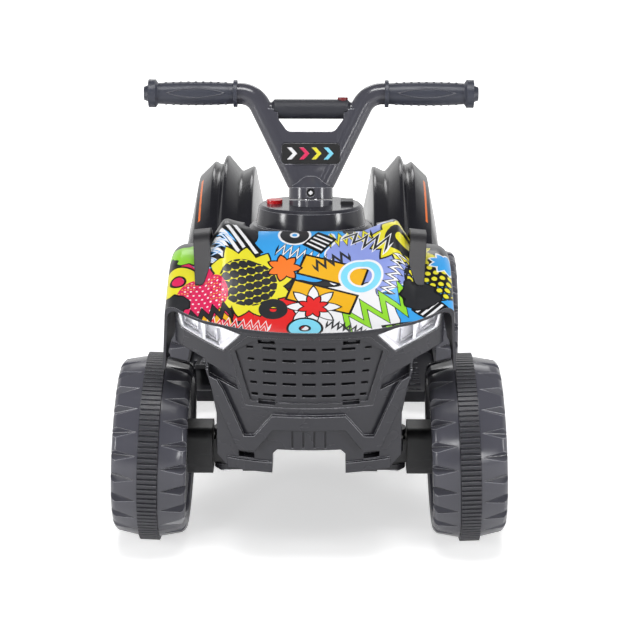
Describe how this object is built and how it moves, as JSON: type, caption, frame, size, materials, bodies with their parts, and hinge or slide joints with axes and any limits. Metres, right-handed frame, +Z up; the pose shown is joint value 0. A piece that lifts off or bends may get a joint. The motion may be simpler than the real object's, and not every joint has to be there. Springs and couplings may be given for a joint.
{
  "type": "kids quad bike",
  "caption": "Small battery ride-on quad for a young child: moulded body, steered front wheels, driven rear wheel, foot pedal, raised handlebar with grips and a padded crossbar.",
  "frame": {"origin": "on the floor, under the middle of the overall length and width", "axes": "-Y is the front of the vehicle, +Z is up, +X is the rider's left"},
  "size_m": [0.4152, 0.66, 0.4724],
  "materials": {
    "black_plastic": "glossy moulded",
    "hood_plastic": "glossy moulded with a printed film",
    "wheel_plastic": "blow moulded",
    "cap_plastic": "glossy moulded",
    "band_rubber": "ribbed rubber",
    "strap_plastic": "glossy moulded",
    "bar_plastic": "glossy moulded",
    "grip_rubber": "soft moulded",
    "pad_foam": "foam sleeve",
    "badge": "printed plate",
    "seat_plastic": "grained moulded",
    "lens_clear": "clear moulded",
    "reflector": "metallised",
    "red_lens": "red clear moulded",
    "red_plastic": "glossy moulded",
    "switch_plastic": "moulded",
    "pedal_plastic": "moulded",
    "steel": "zinc plated",
    "motor_metal": "plated can",
    "battery_case": "moulded case",
    "strap_fabric": "woven webbing"
  },
  "bodies": {
    "chassis": {"chassis_tub": "black_plastic", "body_shell": "black_plastic", "front_cowl": "hood_plastic", "front_fascia": "black_plastic", "grille": "black_plastic", "dash_cover": "black_plastic", "column_bush": "bar_plastic", "seat": "seat_plastic", "tail_panel": "black_plastic", "body_screws": "steel", "battery": "battery_case", "battery_strap": "strap_fabric", "gearbox": "pedal_plastic", "motor": "motor_metal", "rear_axle": "steel", "rear_axle_nuts": "steel", "charge_socket": "switch_plastic", "kingpins": "steel", "pedal_switch": "switch_plastic", "headlight_lens_left": "lens_clear", "headlight_lens_right": "lens_clear", "headlight_reflector_left": "reflector", "headlight_reflector_right": "reflector", "rack_strap_left": "strap_plastic", "rack_strap_right": "strap_plastic", "rear_fender_left": "black_plastic", "rear_fender_right": "black_plastic", "tail_light_left": "red_lens", "tail_light_right": "red_lens"},
    "steering": {"handlebar": "bar_plastic", "grip_left": "grip_rubber", "grip_right": "grip_rubber", "crossbar_pad": "pad_foam", "badge_plate": "badge", "stem_bolt": "steel", "steering_column": "steel"},
    "throttle_pedal": {"throttle_pedal": "pedal_plastic"},
    "start_button": {"start_button": "red_plastic"},
    "direction_rocker": {"direction_rocker": "switch_plastic"},
    "horn_button": {"horn_button": "switch_plastic"},
    "tie_rod": {"tie_rod": "pedal_plastic"},
    "knuckle_left": {"knuckle_left": "pedal_plastic", "spindle_left": "steel", "spindle_nut_left": "steel"},
    "front_wheel_left": {"front_wheel_left": "wheel_plastic", "front_traction_band_left": "band_rubber", "front_hub_cap_left": "cap_plastic"},
    "rear_wheel_left": {"rear_wheel_left": "wheel_plastic", "rear_traction_band_left": "band_rubber", "rear_hub_cap_left": "cap_plastic", "drive_hub": "pedal_plastic"},
    "knuckle_right": {"knuckle_right": "pedal_plastic", "spindle_right": "steel", "spindle_nut_right": "steel"},
    "front_wheel_right": {"front_wheel_right": "wheel_plastic", "front_traction_band_right": "band_rubber", "front_hub_cap_right": "cap_plastic"},
    "rear_wheel_right": {"rear_wheel_right": "wheel_plastic", "rear_traction_band_right": "band_rubber", "rear_hub_cap_right": "cap_plastic"}
  },
  "joints": [
    {"name": "steering_turn", "type": "hinge", "parent": "chassis", "child": "steering", "pos_m": [0, -0.115, 0.348], "axis": [0, 0.2419, 0.9703], "range_deg": [-18, 18]},
    {"name": "knuckle_turn_left", "type": "hinge", "parent": "chassis", "child": "knuckle_left", "pos_m": [0.09, -0.21, 0.1], "axis": [0, 0, 1], "range_deg": [-18, 18]},
    {"name": "knuckle_turn_right", "type": "hinge", "parent": "chassis", "child": "knuckle_right", "pos_m": [-0.09, -0.21, 0.1], "axis": [0, 0, 1], "range_deg": [-18, 18]},
    {"name": "tie_rod_turn", "type": "hinge", "parent": "knuckle_left", "child": "tie_rod", "pos_m": [0.09, -0.24, 0.119], "axis": [0, 0, 1], "range_deg": [-18, 18]},
    {"name": "front_wheel_spin_left", "type": "hinge", "parent": "knuckle_left", "child": "front_wheel_left", "pos_m": [0.1655, -0.21, 0.10034], "axis": [0.999, 0, 0.0436], "continuous": true},
    {"name": "front_wheel_spin_right", "type": "hinge", "parent": "knuckle_right", "child": "front_wheel_right", "pos_m": [-0.1655, -0.21, 0.10034], "axis": [0.999, 0, -0.0436], "continuous": true},
    {"name": "rear_wheel_spin_left", "type": "hinge", "parent": "chassis", "child": "rear_wheel_left", "pos_m": [0.142, 0.21, 0.1], "axis": [1, 0, 0], "continuous": true},
    {"name": "rear_wheel_spin_right", "type": "hinge", "parent": "chassis", "child": "rear_wheel_right", "pos_m": [-0.142, 0.21, 0.1], "axis": [1, 0, 0], "continuous": true},
    {"name": "throttle_press", "type": "hinge", "parent": "chassis", "child": "throttle_pedal", "pos_m": [-0.112, 0.03, 0.1089], "axis": [1, 0, 0], "range_deg": [0, 9], "stiffness_Nm_per_rad": 0.6, "springref_deg": -5.73},
    {"name": "start_press", "type": "slide", "parent": "chassis", "child": "start_button", "axis": [0, -0.0958, -0.9954], "range_m": [0, 0.0025], "stiffness_N_per_m": 300, "springref_m": -0.001},
    {"name": "direction_rock", "type": "hinge", "parent": "chassis", "child": "direction_rocker", "pos_m": [0.039, -0.11315, 0.34131], "axis": [1, 0, 0], "range_deg": [-10, 10]},
    {"name": "horn_press", "type": "slide", "parent": "steering", "child": "horn_button", "axis": [0, -0.2419, -0.9703], "range_m": [0, 0.0015], "stiffness_N_per_m": 300, "springref_m": -0.001}
  ],
  "couplings": [
    {"joint": "knuckle_turn_left", "follows": "steering_turn", "ratio": 1},
    {"joint": "knuckle_turn_right", "follows": "steering_turn", "ratio": 1},
    {"joint": "tie_rod_turn", "follows": "steering_turn", "ratio": -1}
  ]
}
